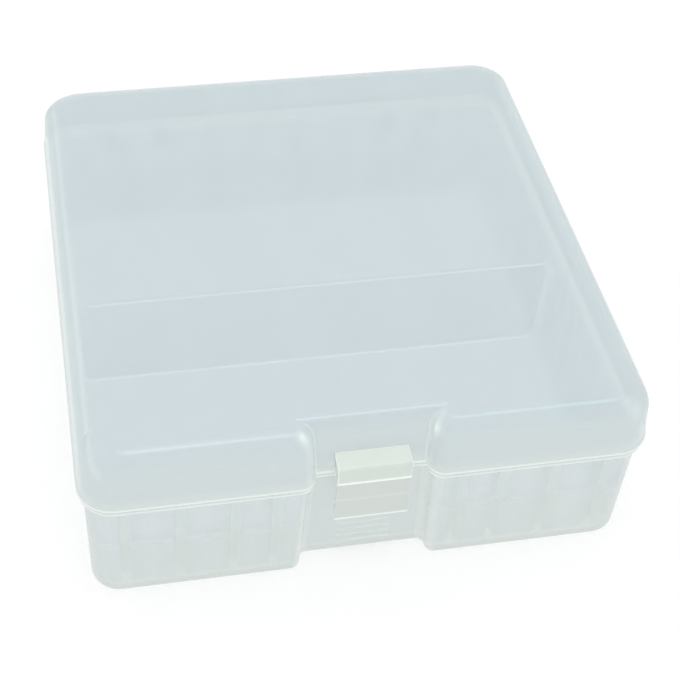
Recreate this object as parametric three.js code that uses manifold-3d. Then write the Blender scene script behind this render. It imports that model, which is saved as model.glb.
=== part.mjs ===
// Translucent hinged-lid battery case in millimetres, +Z up, the latch at the front on -Y.
// The origin is at the middle of the underside. Two mouldings close on each other: a tray with a divider
// across it, and a deep lid on two rear hinges. A bay cut into the front of both holds the snap latch.
import * as THREE from "three";
import { mergeVertices } from "three/addons/utils/BufferGeometryUtils.js";
import Module from "manifold-3d";

const wasm = await Module();
wasm.setup();

// Driving sizes of the closed case
const case_width = 170;
const case_depth = 176;
const case_height = 61.6;
const rim_height = 41.8; // lower edge of the lid
const piece_gap = 0.3; // between pieces that touch on the real case
const overrun = 2; // how far a cut runs past the face it opens

// Lid shell
const lid_wall = 1.6;
const lid_roof = 1.8;
const lid_draft = 0.058; // sideways run of a wall for each millimetre of height
const lid_corner_radius = 10.6;
const lid_roof_radius = 7.8;
const rim_bead_proud = 0.3;
const rim_bead_height = 1.5;

// Latch bay, the notch in the front of lid and tray
const bay_width = 32.8; // at the lid's rim
const bay_depth = 5.6; // at the lid's rim
const bay_face_draft = 0.19; // the notch gets deeper towards the roof
const bay_lobe_radius = 5.1;
const bay_nook_radius = 0.4;
const bay_roof_radius = 1.1; // between the bay's face and the roof
const bay_side_radius = 6.6; // between the bay's sides and the roof
const bay_round_share = 0.98; // most of the bay's depth that its two roundings may take

// Tray
const tray_wall = 1.8;
const tray_floor = 2.2;
const tray_draft = 0.029;
const tray_foot_radius = 2.8;
const tray_inner_radius = 2;
const lip_thick = 1.7; // ledge that the lid's rim closes on
const lip_proud = 1.4;
const lip_chamfer = 0.6;
const upstand_height = 3.4; // collar that guides the lid
const upstand_inset = 0.7;
const upstand_chamfer = 0.4;

// Ribs inside the tray, one for each cell of a 14.5 mm battery
const rib_pitch = 16;
const rib_width = 3;
const row_rib_proud = 3; // on the front and back walls, reaching in between the cells
const rib_proud = 0.8; // on the side walls, and the level rib
const rib_headroom = 3; // from the top of a rib to the rim
const side_rib_setback = 13; // from the outer wall to the first rib
const bay_rib_setback = 9.5; // from the bay's side to the last rib
const belt_height = 22.3; // level rib half way up
const belt_thick = 1.3;

// Divider plate and the guides that it stands in
const divider_thick = 1.8;
const divider_height = 37.8;
const divider_corner_radius = 3.5;
const guide_width = 1.6;
const guide_proud = 2.2;

// Latch: a block on the lid, a flap hung under it and a catch on the tray
const latch_width = 22;
const latch_face_setback = 0.4; // from the front of the lobes to the face of the latch
const block_height = 7;
const block_fall = 0.2; // slope of the block's top
const block_radius = 1.1;
const flap_length = 15.3;
const flap_thick = 1.6;
const flap_root_thick = 0.7; // thinned for bending
const flap_root_length = 1.4;
const flap_lip_thick = 2.5;
const flap_lip_height = 1.1;
const flap_edge_radius = 0.35;
const hook_reach = 1.5;
const hook_height = 2.8;
const hook_drop = 10.4; // from the rim to the top of the hook
const catch_width = 15;
const catch_rise = 2.2;
const catch_lead = 1.8; // slope over the catch that the hook rides down
const grip_count = 4;
const grip_width = 16.5;
const grip_pitch = 2.8;
const grip_thick = 0.8;
const grip_proud = 0.5;
const grip_height = 5.7; // from the underside to the lowest grip rib
const root_share = 0.5; // how far into a wall an added piece is rooted, as a share of the wall

// Rear hinges
const hinge_spacing_share = 0.612; // of the case's width
const hinge_setback = 3.4; // from the lid's rear face to the pin
const pin_radius = 1.5;
const hinge_wall = 1.2; // plastic round the pin's hole
const ear_width = 5;
const knuckle_width = 12;
const hinge_side_gap = 0.4;
const ear_drop = 10.5; // how far an ear's web runs down the tray
const knuckle_rise = 8; // how far a knuckle's web runs up the lid
const pin_chamfer = 0.4;

// Fineness of round stretches
const corner_steps = 9;
const bay_steps = 5;
const fillet_steps = 6;
const round_steps = 24;
const weld_tolerance = 1e-4; // corners closer than this are one corner

// Sizes that follow
const half_width = case_width / 2;
const half_depth = case_depth / 2;
const tray_overhang = lid_wall + piece_gap; // the lid's rim stands this far outside the tray
const tray_top = rim_height - piece_gap;
const latch_face = half_depth - latch_face_setback;
const bay_face = half_depth - bay_depth;
const hinge_spacing = case_width * hinge_spacing_share;
const hinge_y = half_depth + hinge_setback;
const hinge_z = rim_height - piece_gap / 2;
const bore_radius = pin_radius + piece_gap;
const knuckle_radius = bore_radius + hinge_wall;
const rib_bottom = -overrun;
const rib_top = rim_height - rib_headroom;
const quarter = Math.PI / 2;

// A closed loop whose square corners [x, y, radius, steps] are rounded; works for inward corners too
function roundedLoop(corners) {
  return corners.flatMap(([x, y, radius, steps], i) => {
    const corner = new THREE.Vector2(x, y);
    const [bx, by] = corners.at(i - 1);
    const [nx, ny] = corners[(i + 1) % corners.length];
    const into = new THREE.Vector2(x - bx, y - by).normalize();
    const out = new THREE.Vector2(nx - x, ny - y).normalize();
    const centre = corner.clone().addScaledVector(into, -radius).addScaledVector(out, radius);
    return Array.from({ length: steps + 1 }, (_, k) => {
      const angle = (quarter * k) / steps;
      return centre
        .clone()
        .addScaledVector(into, radius * Math.sin(angle))
        .addScaledVector(out, -radius * Math.cos(angle));
    });
  });
}

// The case seen from above at one height: a rectangle with round corners and the bay in its front side
function planLoop({ width, depth, corner, bayWidth, bayFace, lobe, nook }) {
  const fit = Math.min(1, ((depth - bayFace) * bay_round_share) / (lobe + nook));
  const lobeRound = [lobe * fit, bay_steps];
  const nookRound = [nook * fit, bay_steps];
  return roundedLoop([
    [bayWidth, -depth, ...lobeRound],
    [width, -depth, corner, corner_steps],
    [width, depth, corner, corner_steps],
    [-width, depth, corner, corner_steps],
    [-width, -depth, corner, corner_steps],
    [-bayWidth, -depth, ...lobeRound],
    [-bayWidth, -bayFace, ...nookRound],
    [bayWidth, -bayFace, ...nookRound],
  ]);
}

// A closed solid through rings of equally many points, each with its height
function loft(rings) {
  const count = rings[0].loop.length;
  const position = rings.flatMap(({ loop, z }) => loop.flatMap((p) => [p.x, p.y, z]));
  const index = [];
  for (let level = 1; level < rings.length; level++) {
    for (let i = 0; i < count; i++) {
      const a = (level - 1) * count + i;
      const b = (level - 1) * count + ((i + 1) % count);
      index.push(a, b, b + count, a, b + count, a + count);
    }
  }
  const top = (rings.length - 1) * count;
  for (const [a, b, c] of THREE.ShapeUtils.triangulateShape(rings[0].loop, [])) index.push(a, c, b);
  for (const [a, b, c] of THREE.ShapeUtils.triangulateShape(rings.at(-1).loop, []))
    index.push(top + a, top + b, top + c);
  const geometry = new THREE.BufferGeometry();
  geometry.setAttribute("position", new THREE.Float32BufferAttribute(position, 3));
  geometry.setIndex(index);
  return solidOf(geometry);
}

// A three.js geometry as a solid that can be cut and joined
function solidOf(geometry) {
  const bare = geometry.clone();
  bare.deleteAttribute("normal");
  bare.deleteAttribute("uv");
  const merged = mergeVertices(bare, weld_tolerance);
  return new wasm.Manifold(
    new wasm.Mesh({
      numProp: 3,
      vertProperties: new Float32Array(merged.attributes.position.array),
      triVerts: new Uint32Array(merged.index.array),
    }),
  );
}

function pieceOf(name, solid, material) {
  const mesh = solid.getMesh();
  const geometry = new THREE.BufferGeometry();
  geometry.setAttribute("position", new THREE.BufferAttribute(mesh.vertProperties, 3));
  geometry.setIndex(new THREE.BufferAttribute(mesh.triVerts, 1));
  const flat = geometry.toNonIndexed();
  flat.computeVertexNormals();
  const piece = new THREE.Mesh(flat, material);
  piece.name = name;
  return piece;
}

// A side profile [y, z] carried along X from one place to another
const along_x = new THREE.Matrix4().makeBasis(
  new THREE.Vector3(0, 1, 0),
  new THREE.Vector3(0, 0, 1),
  new THREE.Vector3(1, 0, 0),
);

function carryAlongX(shape, from, to, bevel = 0) {
  const geometry = new THREE.ExtrudeGeometry(shape, {
    depth: to - from - 2 * bevel,
    curveSegments: round_steps / 4,
    bevelEnabled: bevel > 0,
    bevelSize: bevel,
    bevelThickness: bevel,
    bevelOffset: -bevel,
    bevelSegments: 2,
  });
  geometry.applyMatrix4(along_x).translate(from + bevel, 0, 0);
  return solidOf(geometry);
}

// A box between two corners, for cutters and straight ribs
function block(from, to) {
  const size = to.map((v, i) => v - from[i]);
  const geometry = new THREE.BoxGeometry(...size);
  geometry.translate(...from.map((v, i) => v + size[i] / 2));
  return solidOf(geometry);
}

const joined = (solids) => solids.reduce((whole, piece) => whole.add(piece));

// How far a round edge of the given radius has run inwards at a distance from its start
function roundRun(distance, radius) {
  const along = Math.min(Math.max(distance, 0), radius);
  return radius - Math.sqrt(radius * radius - along * along);
}

// Heights of the rings round an edge that ends at the given height
function roundHeights(end, radius) {
  return Array.from({ length: fillet_steps + 1 }, (_, k) => {
    const angle = (quarter * k) / fillet_steps;
    return end - radius + radius * Math.sin(angle);
  });
}

// Plan of the lid at a height, inset sideways by a wall and down by a roof
function lidPlan(z, wall, roof) {
  const top = case_height - roof;
  const radius = lid_roof_radius - wall;
  const bay_radius = bay_side_radius - wall;
  const rise = z - rim_height;
  const side = lid_draft * rise + roundRun(z - (top - radius), radius) + wall;
  const gape = lid_draft * rise + roundRun(z - (top - bay_radius), bay_radius) + wall;
  const dent = bay_face_draft * rise + roundRun(z - (top - bay_roof_radius), bay_roof_radius) + wall;
  return {
    width: half_width - side,
    depth: half_depth - side,
    corner: lid_corner_radius - wall,
    bayWidth: bay_width / 2 + gape,
    bayFace: bay_face - dent,
    lobe: bay_lobe_radius - wall,
    nook: bay_nook_radius + wall,
  };
}

// Plan of the tray at a height; a negative inset stands outside the wall
function trayPlan(z, inset) {
  const side = tray_draft * (rim_height - z) + tray_overhang + inset;
  return {
    width: half_width - side,
    depth: half_depth - side,
    corner: lid_corner_radius - tray_overhang - inset,
    bayWidth: bay_width / 2 + side,
    bayFace: bay_face - side,
    lobe: Math.max(bay_lobe_radius - tray_overhang - inset, bay_nook_radius),
    nook: bay_nook_radius + tray_overhang + inset,
  };
}

const ring = (plan, z) => ({ loop: planLoop(plan), z });

function makeLidShell() {
  const edge = roundHeights(case_height, lid_roof_radius);
  const bead_top = rim_height + rim_bead_height;
  const outside = loft([
    ring(lidPlan(rim_height, 0, 0), rim_height),
    ring(lidPlan(bead_top, 0, 0), bead_top),
    ring(lidPlan(bead_top, rim_bead_proud, 0), bead_top + rim_bead_proud),
    ...edge.map((z) => ring(lidPlan(z, rim_bead_proud, 0), z)),
  ]);
  const inner_edge = roundHeights(case_height - lid_roof, lid_roof_radius - lid_wall - rim_bead_proud);
  const hollow = loft([
    ring(lidPlan(rim_height - overrun, lid_wall, lid_roof), rim_height - overrun),
    ring(lidPlan(rim_height, lid_wall, lid_roof), rim_height),
    ...inner_edge.map((z) => ring(lidPlan(z, lid_wall + rim_bead_proud, lid_roof), z)),
  ]);
  const knuckles = hingePlaces().map((x) => makeKnuckle(x));
  return joined([outside, makeLatchBlock(), ...knuckles]).subtract(hollow);
}

// Block above the flap, rooted in the lid's sloping bay wall
function makeLatchBlock() {
  const root = (z) => -lidPlan(z, lid_wall * root_share, 0).bayFace;
  const top = rim_height + block_height;
  const front_top = top - block_fall;
  const shape = new THREE.Shape();
  shape.moveTo(root(rim_height), rim_height);
  shape.lineTo(root(top), top);
  shape.lineTo(-latch_face + block_radius, front_top);
  shape.quadraticCurveTo(-latch_face, front_top, -latch_face, front_top - block_radius);
  shape.lineTo(-latch_face, rim_height);
  shape.closePath();
  return carryAlongX(shape, -latch_width / 2, latch_width / 2, flap_edge_radius);
}

// Places of the ribs on a wall of the given half length, counted in from its ends
function ribPlaces(half_length) {
  const first = half_length - side_rib_setback;
  const count = Math.floor((first - rib_pitch / 2) / rib_pitch) + 1;
  return Array.from({ length: count }, (_, k) => first - k * rib_pitch);
}

// Blocks that keep the ribs of the front and back walls standing when the tray is hollowed out
function rowRibBlocks() {
  const deep = case_depth;
  const half = rib_width / 2;
  const across = ribPlaces(half_width).filter((x) => x > bay_width / 2 + bay_rib_setback);
  const back = ribPlaces(half_width).filter((x) => !across.includes(x));
  const beside_bay = bay_width / 2 + tray_overhang + bay_rib_setback;
  const blocks = [];
  for (const side of [-1, 1]) {
    const rib = (x, y0, y1) =>
      blocks.push(block([side * x - half, y0, rib_bottom], [side * x + half, y1, rib_top]));
    across.forEach((x) => rib(x, -deep, deep));
    back.forEach((x) => rib(x, 0, deep));
    rib(beside_bay, -deep, 0);
  }
  return joined(blocks);
}

// The same for the ribs of the side walls and the level rib
function sideRibBlocks() {
  const wide = case_width;
  const deep = case_depth;
  const half = rib_width / 2;
  const blocks = [];
  for (const y of ribPlaces(half_depth)) {
    blocks.push(block([-wide, y - half, rib_bottom], [wide, y + half, rib_top]));
    blocks.push(block([-wide, -y - half, rib_bottom], [wide, -y + half, rib_top]));
  }
  const belt = belt_thick / 2;
  blocks.push(block([-wide, -deep, belt_height - belt], [wide, deep, belt_height + belt]));
  return joined(blocks);
}

// Two upright guides at each end of the divider
function guideBlocks() {
  const near = divider_thick / 2 + piece_gap;
  const far = near + guide_width;
  return joined([
    block([-case_width, near, rib_bottom], [case_width, far, divider_height]),
    block([-case_width, -far, rib_bottom], [case_width, -near, divider_height]),
  ]);
}

// The room inside the tray, with its walls drawn in by an inset
function trayRoom(inset) {
  const floor = tray_floor;
  const top = tray_top + upstand_height + overrun;
  const edge = roundHeights(floor + 2 * tray_inner_radius, tray_inner_radius);
  const rounding = edge.map((z) => 2 * (floor + tray_inner_radius) - z).reverse();
  const wall = tray_wall + inset;
  const rings = rounding.map((z) => {
    const run = roundRun(floor + tray_inner_radius - z, tray_inner_radius);
    return ring(trayPlan(z, wall + run), z);
  });
  return loft([...rings, ring(trayPlan(top, wall), top)]);
}

function makeTray() {
  const lip_bottom = tray_top - lip_thick;
  const chamfered = tray_top + upstand_height - upstand_chamfer;
  const foot = roundHeights(2 * tray_foot_radius, tray_foot_radius);
  const heights = foot.map((z) => 2 * tray_foot_radius - z).reverse();
  const outside = loft([
    ...heights.map((z) => ring(trayPlan(z, roundRun(tray_foot_radius - z, tray_foot_radius)), z)),
    ring(trayPlan(lip_bottom - lip_chamfer, 0), lip_bottom - lip_chamfer),
    ring(trayPlan(lip_bottom, -lip_proud), lip_bottom),
    ring(trayPlan(tray_top, -lip_proud), tray_top),
    ring(trayPlan(tray_top, upstand_inset), tray_top),
    ring(trayPlan(chamfered, upstand_inset), chamfered),
    ring(trayPlan(chamfered, upstand_inset + upstand_chamfer), tray_top + upstand_height),
  ]);
  const rows = rowRibBlocks();
  const rows_and_guides = rows.add(guideBlocks());
  const room = trayRoom(0)
    .subtract(rows_and_guides.add(sideRibBlocks()))
    .add(trayRoom(rib_proud).subtract(rows_and_guides))
    .add(trayRoom(guide_proud).subtract(rows))
    .add(trayRoom(row_rib_proud));
  const ears = hingePlaces().flatMap((x) => makeEars(x));
  return joined([outside, makeCatch(), ...makeGrips(), ...ears]).subtract(room);
}

// The tray's bay wall at a height, and the depth to which things on it are rooted
const bayWall = (z) => -trayPlan(z, 0).bayFace;
const bayRoot = (z) => -trayPlan(z, tray_wall * root_share).bayFace;

// Wedge on the bay wall that the hook of the flap snaps under
function makeCatch() {
  const bottom = rim_height - hook_drop + piece_gap;
  const top = bottom + catch_rise;
  const front = -latch_face + flap_thick + hook_reach + piece_gap;
  const shape = new THREE.Shape([
    new THREE.Vector2(bayRoot(bottom), bottom),
    new THREE.Vector2(bayRoot(top + catch_lead), top + catch_lead),
    new THREE.Vector2(bayWall(top + catch_lead), top + catch_lead),
    new THREE.Vector2(front, top),
    new THREE.Vector2(front, bottom),
  ].reverse());
  return carryAlongX(shape, -catch_width / 2, catch_width / 2);
}

// Low ribs across the bay wall under the flap, for the finger
function makeGrips() {
  return Array.from({ length: grip_count }, (_, k) => {
    const bottom = grip_height + k * grip_pitch;
    const top = bottom + grip_thick;
    const shape = new THREE.Shape([
      new THREE.Vector2(bayWall(bottom) - grip_proud, bottom),
      new THREE.Vector2(bayRoot(bottom), bottom),
      new THREE.Vector2(bayRoot(top), top),
      new THREE.Vector2(bayWall(top) - grip_proud, top),
    ]);
    return carryAlongX(shape, -grip_width / 2, grip_width / 2);
  });
}

const hingePlaces = () => [-hinge_spacing / 2, hinge_spacing / 2];

// Round eye about the pin, its web running tangent from the eye to a root on the wall
function eyeProfile(root_y, root_z, shoulder_z) {
  const down = Math.sign(root_z - hinge_z);
  const to_root = new THREE.Vector2(root_y - hinge_y, Math.abs(root_z - hinge_z));
  const tangent = to_root.angle() - Math.acos(knuckle_radius / to_root.length());
  const shoulder = Math.PI - Math.asin(Math.abs(shoulder_z - hinge_z) / knuckle_radius);
  const edge = Array.from({ length: round_steps + 1 }, (_, k) => {
    const angle = tangent + ((shoulder - 2 * Math.PI - tangent) * k) / round_steps;
    return new THREE.Vector2(Math.cos(angle), down * Math.sin(angle)).multiplyScalar(knuckle_radius);
  }).map((p) => p.add(new THREE.Vector2(hinge_y, hinge_z)));
  const outline = [new THREE.Vector2(root_y, root_z), ...edge, new THREE.Vector2(root_y, shoulder_z)];
  const shape = new THREE.Shape(outline);
  const bore = new THREE.EllipseCurve(hinge_y, hinge_z, bore_radius, bore_radius);
  shape.holes.push(new THREE.Path(bore.getPoints(round_steps).slice(1)));
  return shape;
}

function makeEars(x) {
  const root_z = hinge_z - ear_drop;
  const root_y = trayPlan(root_z, tray_wall * root_share).depth;
  const shape = eyeProfile(root_y, root_z, tray_top - piece_gap);
  const inner = knuckle_width / 2 + hinge_side_gap;
  const outer = inner + ear_width;
  return [carryAlongX(shape, x - outer, x - inner), carryAlongX(shape, x + inner, x + outer)];
}

function makeKnuckle(x) {
  const root_z = hinge_z + knuckle_rise;
  const root_y = lidPlan(root_z, lid_wall * root_share, 0).depth;
  const shape = eyeProfile(root_y, root_z, rim_height + piece_gap);
  return carryAlongX(shape, x - knuckle_width / 2, x + knuckle_width / 2);
}

function makePin() {
  const half = knuckle_width / 2 + hinge_side_gap + ear_width;
  const profile = [
    new THREE.Vector2(0, -half),
    new THREE.Vector2(pin_radius - pin_chamfer, -half),
    new THREE.Vector2(pin_radius, -half + pin_chamfer),
    new THREE.Vector2(pin_radius, half - pin_chamfer),
    new THREE.Vector2(pin_radius - pin_chamfer, half),
    new THREE.Vector2(0, half),
  ];
  return solidOf(new THREE.LatheGeometry(profile, round_steps).rotateZ(quarter));
}

// Plate that parts the tray in two, drawn in its own plane and tapered like the walls beside it
function makeDivider() {
  const bottom = tray_floor + piece_gap;
  const end = (z) => trayPlan(z, tray_wall + rib_proud).width - piece_gap;
  const radius = divider_corner_radius;
  const shape = new THREE.Shape();
  shape.moveTo(-end(bottom) + radius, bottom);
  shape.lineTo(end(bottom) - radius, bottom);
  shape.quadraticCurveTo(end(bottom), bottom, end(bottom + radius), bottom + radius);
  shape.lineTo(end(divider_height), divider_height);
  shape.lineTo(-end(divider_height), divider_height);
  shape.lineTo(-end(bottom + radius), bottom + radius);
  shape.quadraticCurveTo(-end(bottom), bottom, -end(bottom) + radius, bottom);
  const geometry = new THREE.ExtrudeGeometry(shape, {
    depth: divider_thick,
    curveSegments: round_steps / 4,
    bevelEnabled: false,
  });
  geometry.translate(0, 0, -divider_thick / 2).rotateX(quarter);
  return solidOf(geometry);
}

// Flap with a thin root to bend at, a hook inside and a thick lower edge for the finger
function makeFlap() {
  const top = rim_height - piece_gap;
  const bottom = rim_height - flap_length;
  const hook_top = rim_height - hook_drop;
  const face = -latch_face;
  const back = face + flap_thick;
  const shape = new THREE.Shape([
    new THREE.Vector2(face, top),
    new THREE.Vector2(face, bottom),
    new THREE.Vector2(face + flap_lip_thick, bottom),
    new THREE.Vector2(face + flap_lip_thick, bottom + flap_lip_height),
    new THREE.Vector2(back, bottom + flap_lip_height + flap_lip_thick - flap_thick),
    new THREE.Vector2(back, hook_top - hook_height),
    new THREE.Vector2(back + hook_reach, hook_top - hook_height + hook_reach),
    new THREE.Vector2(back + hook_reach, hook_top),
    new THREE.Vector2(back, hook_top),
    new THREE.Vector2(back, top - flap_root_length),
    new THREE.Vector2(face + flap_root_thick, top - flap_root_length + flap_root_thick),
    new THREE.Vector2(face + flap_root_thick, top),
  ]);
  return carryAlongX(shape, -latch_width / 2, latch_width / 2);
}

function plastic(color, opacity) {
  return new THREE.MeshStandardMaterial({
    color,
    roughness: 0.35,
    metalness: 0,
    transparent: true,
    opacity,
  });
}

const tray_material = plastic(0xd6dedf, 0.8);
const lid_material = plastic(0xd2dde1, 0.75);
const latch_material = plastic(0xdce2d8, 0.85);

const group = new THREE.Group();
group.add(pieceOf("base_tray", makeTray(), tray_material));
group.add(pieceOf("divider_wall", makeDivider(), tray_material));
group.add(pieceOf("lid_shell", makeLidShell(), lid_material));
group.add(pieceOf("latch_flap", makeFlap(), latch_material));
for (const [name, x] of [["hinge_pin_left", -1], ["hinge_pin_right", 1]]) {
  const pin = pieceOf(name, makePin(), tray_material);
  pin.position.set((x * hinge_spacing) / 2, hinge_y, hinge_z);
  group.add(pin);
}

export default group;
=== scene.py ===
# %% [markdown]
# # Looks for a translucent hinged battery case
#
# The case is two injection mouldings in frosted polypropylene, a tray and a deep lid, closed on each other.
# A bay cut into the front of both holds a snap latch, and two hinges hold the lid at the back.
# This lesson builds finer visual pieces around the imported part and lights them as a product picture.
#
# ## The frame
# Every visual piece rides on one of the bodies `tray`, `lid` and `latch`, so that the lid and the latch
# still turn when a pose asks for it.

import math

import bpy
import numpy as np
from mathutils import Matrix, Vector


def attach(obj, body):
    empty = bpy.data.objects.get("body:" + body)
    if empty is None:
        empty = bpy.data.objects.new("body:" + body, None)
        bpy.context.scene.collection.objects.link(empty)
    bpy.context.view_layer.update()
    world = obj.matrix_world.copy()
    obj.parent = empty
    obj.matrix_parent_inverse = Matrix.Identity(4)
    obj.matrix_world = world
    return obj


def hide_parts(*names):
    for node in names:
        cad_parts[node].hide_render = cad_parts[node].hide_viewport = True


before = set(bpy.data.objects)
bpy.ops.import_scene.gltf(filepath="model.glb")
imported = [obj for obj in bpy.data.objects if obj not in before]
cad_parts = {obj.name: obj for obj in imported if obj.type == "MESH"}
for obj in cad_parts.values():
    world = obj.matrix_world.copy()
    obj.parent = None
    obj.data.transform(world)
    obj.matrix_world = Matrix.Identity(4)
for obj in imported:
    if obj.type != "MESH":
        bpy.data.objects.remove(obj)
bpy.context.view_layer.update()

# %% [markdown]
# ## Camera
# The photo was taken from the front left, looking down. Its pose could be set by eye with a picture behind
# the view; here it is written as the angles and the place that fit the outlines, because numbers repeat.
# The picture's middle was cropped away from the lens axis, so the camera has a small shift.

# %% Camera at the photo's angle
image_side = 680  # pixels
sensor_width = 36  # mm
focal_pixels = 1586.3
lens_axis = (300, 200)  # pixels from the left and the top
camera_place = Vector((-0.0883, -0.3690, 0.4003))
camera_turn, camera_tilt, camera_roll = (math.radians(v) for v in (12.330, 40.734, 3.2615))

ahead = Vector((
    math.sin(camera_turn) * math.cos(camera_tilt),
    math.cos(camera_turn) * math.cos(camera_tilt),
    -math.sin(camera_tilt),
))
level = Vector((math.cos(camera_turn), -math.sin(camera_turn), 0))
right = math.cos(camera_roll) * level + math.sin(camera_roll) * level.cross(ahead)
axes = Matrix((right, right.cross(ahead), -ahead)).transposed()

camera_data = bpy.data.cameras.new("camera")
camera_data.sensor_width = sensor_width
camera_data.lens = focal_pixels / image_side * sensor_width
camera_data.shift_x = (image_side / 2 - lens_axis[0]) / image_side
camera_data.shift_y = (lens_axis[1] - image_side / 2) / image_side
camera_data.clip_start = 0.01
camera_data.dof.use_dof = False
camera = bpy.data.objects.new("camera", camera_data)
camera.matrix_world = Matrix.Translation(camera_place) @ axes.to_4x4()
scene = bpy.context.scene
scene.collection.objects.link(camera)
scene.camera = camera
scene.view_settings.view_transform = "Standard"
print("lens, mm:", round(camera_data.lens, 2), "tilt, degrees:", round(math.degrees(camera_tilt), 2))

# %% [markdown]
# ## Studio
# The photo is lit from all round in a white tent: no shadow edge, and hardly any darker side.
# A white world does that. A few large soft lamps add light lines along the round edges, and painted
# highlights on the points add the rest.
# They could be small and strong, but a small lamp would give hard spots that the photo hasn't got.

# %% White tent and lamps
tent_level = 0.96  # brightness of the tent for everything but the camera
lamps = {
    # name: (place in metres, side in metres, power in watts)
    "lamp_overhead": ((-0.03, -0.22, 1.30), 0.36, 1.1),
    "lamp_behind_left": ((-1.02, 1.16, 0.48), 0.45, 0.8),
    "lamp_behind_right": ((1.10, 1.16, 0.35), 0.45, 0.5),
}

world = bpy.data.worlds.new("white_tent")
world.use_nodes = True
scene.world = world
tent_nodes, tent_links = world.node_tree.nodes, world.node_tree.links
background = tent_nodes["Background"]
ray = tent_nodes.new("ShaderNodeLightPath")
level_mix = tent_nodes.new("ShaderNodeMix")
level_mix.inputs["A"].default_value = tent_level
level_mix.inputs["B"].default_value = 1
tent_links.new(ray.outputs["Is Camera Ray"], level_mix.inputs["Factor"])
tent_links.new(level_mix.outputs["Result"], background.inputs["Strength"])
background.inputs["Color"].default_value = (1, 1, 1, 1)

aim = Vector((0, 0, 0.03))
for lamp_name, (place, side, power) in lamps.items():
    lamp_data = bpy.data.lights.new(lamp_name, "AREA")
    lamp_data.shape = "DISK"
    lamp_data.size = side
    lamp_data.energy = power
    lamp = bpy.data.objects.new(lamp_name, lamp_data)
    lamp.location = place
    lamp.rotation_euler = (Vector(place) - aim).to_track_quat("Z", "Y").to_euler()
    scene.collection.objects.link(lamp)
print("lamps:", len(lamps), "tent level:", tent_level)

# %% [markdown]
# ## Floor
# The case stands on plain white paper, and all that shows of it is a faint shadow. A curved backdrop would
# hide the horizon, but the camera looks down so far that a large flat sheet does.

# %% Floor
floor_side = 6.0  # metres
floor_mesh = bpy.data.meshes.new("floor")
corners = np.array([(-1, -1, 0), (1, -1, 0), (1, 1, 0), (-1, 1, 0)]) * floor_side / 2
floor_mesh.from_pydata(corners.tolist(), [], [(0, 1, 2, 3)])
floor = bpy.data.objects.new("floor", floor_mesh)
scene.collection.objects.link(floor)

floor_paint = bpy.data.materials.new("floor_paint")
floor_paint.use_nodes = True
floor_shader = floor_paint.node_tree.nodes["Principled BSDF"]
floor_shader.inputs["Base Color"].default_value = (1, 1, 1, 1)
floor_shader.inputs["Roughness"].default_value = 1
floor_shader.inputs["Specular IOR Level"].default_value = 0
floor_mesh.materials.append(floor_paint)
print("floor:", floor_side, "m square")

# %% [markdown]
# ## Sizes
# These are the named sizes of the part's source, in millimetres, so that each visual piece lies on its CAD
# piece. They could be measured from the loaded nodes, but a formula reads better with names.

# %% Sizes of the case
mm = 0.001

case_width, case_depth, case_height = 170, 176, 61.6
half_width, half_depth = case_width / 2, case_depth / 2
rim_height = 41.8
piece_gap = 0.3

lid_wall, lid_roof = 1.6, 1.8
lid_draft = 0.058
lid_corner_radius, lid_roof_radius = 10.6, 7.8
bead_proud, bead_height = 0.3, 1.5

bay_width, bay_depth = 32.8, 5.6
bay_face = half_depth - bay_depth
bay_face_draft = 0.19
bay_lobe_radius, bay_nook_radius, bay_roof_radius, bay_side_radius = 5.1, 0.4, 1.1, 6.6
bay_round_share = 0.98

tray_wall, tray_floor = 1.8, 2.2
tray_draft = 0.029
tray_foot_radius, tray_inner_radius = 2.8, 2.0
tray_overhang = lid_wall + piece_gap
tray_top = rim_height - piece_gap
lip_thick, lip_proud, lip_chamfer = 1.7, 1.4, 0.6
upstand_height, upstand_inset, upstand_chamfer = 3.4, 0.7, 0.4
print("bay face at y", -bay_face, "mm, top of the tray's lip at", tray_top, "mm")

# %% [markdown]
# ## Outline of the case
# Seen from above, the case at any height is a rectangle with round corners and the bay in its front side.
# The outline could be drawn as a curve and swept, but then draft and roundings would need a taper by hand.
# Here its half sizes are worked out for every height, so that one formula gives each wall, inside and
# outside.

# %% Half sizes of the outline
def round_run(distance, radius):
    """How far a rounding has come in: radius - sqrt(radius^2 - distance^2), distance from 0 to radius."""
    along = np.clip(distance, 0, radius)
    return radius - np.sqrt(radius**2 - along**2)


def lid_plan(z, wall, roof, drawn_in=0):
    """Half sizes of the lid's outline at each z: draft * rise + rounding + wall is taken off every side."""
    top, rise = case_height - roof, z - rim_height
    radius, gape_radius, dent_radius = lid_roof_radius - wall, bay_side_radius - wall, bay_roof_radius
    side = lid_draft * rise + round_run(z - (top - radius), radius) + wall + drawn_in
    gape = lid_draft * rise + round_run(z - (top - gape_radius), gape_radius) + wall + drawn_in
    dent = bay_face_draft * rise + round_run(z - (top - dent_radius), dent_radius) + wall + drawn_in
    return {
        "width": half_width - side,
        "depth": half_depth - side,
        "corner": lid_corner_radius - wall + 0 * side,
        "bay_width": bay_width / 2 + gape,
        "bay_face": bay_face - dent,
        "lobe": bay_lobe_radius - wall + 0 * side,
        "nook": bay_nook_radius + wall + 0 * side,
    }


def tray_plan(z, inset, tight=0):
    """Half sizes of the tray's outline at each z; a negative inset stands outside the wall.

    Tight is how much smaller the radius of the four corners is than the wall makes it."""
    side = tray_draft * (rim_height - z) + tray_overhang + inset
    return {
        "width": half_width - side,
        "depth": half_depth - side,
        "corner": np.maximum(lid_corner_radius - tray_overhang - inset - tight, bay_nook_radius),
        "bay_width": bay_width / 2 + side,
        "bay_face": bay_face - side,
        "lobe": np.maximum(bay_lobe_radius - tray_overhang - inset, bay_nook_radius),
        "nook": bay_nook_radius + tray_overhang + inset,
    }


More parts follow.
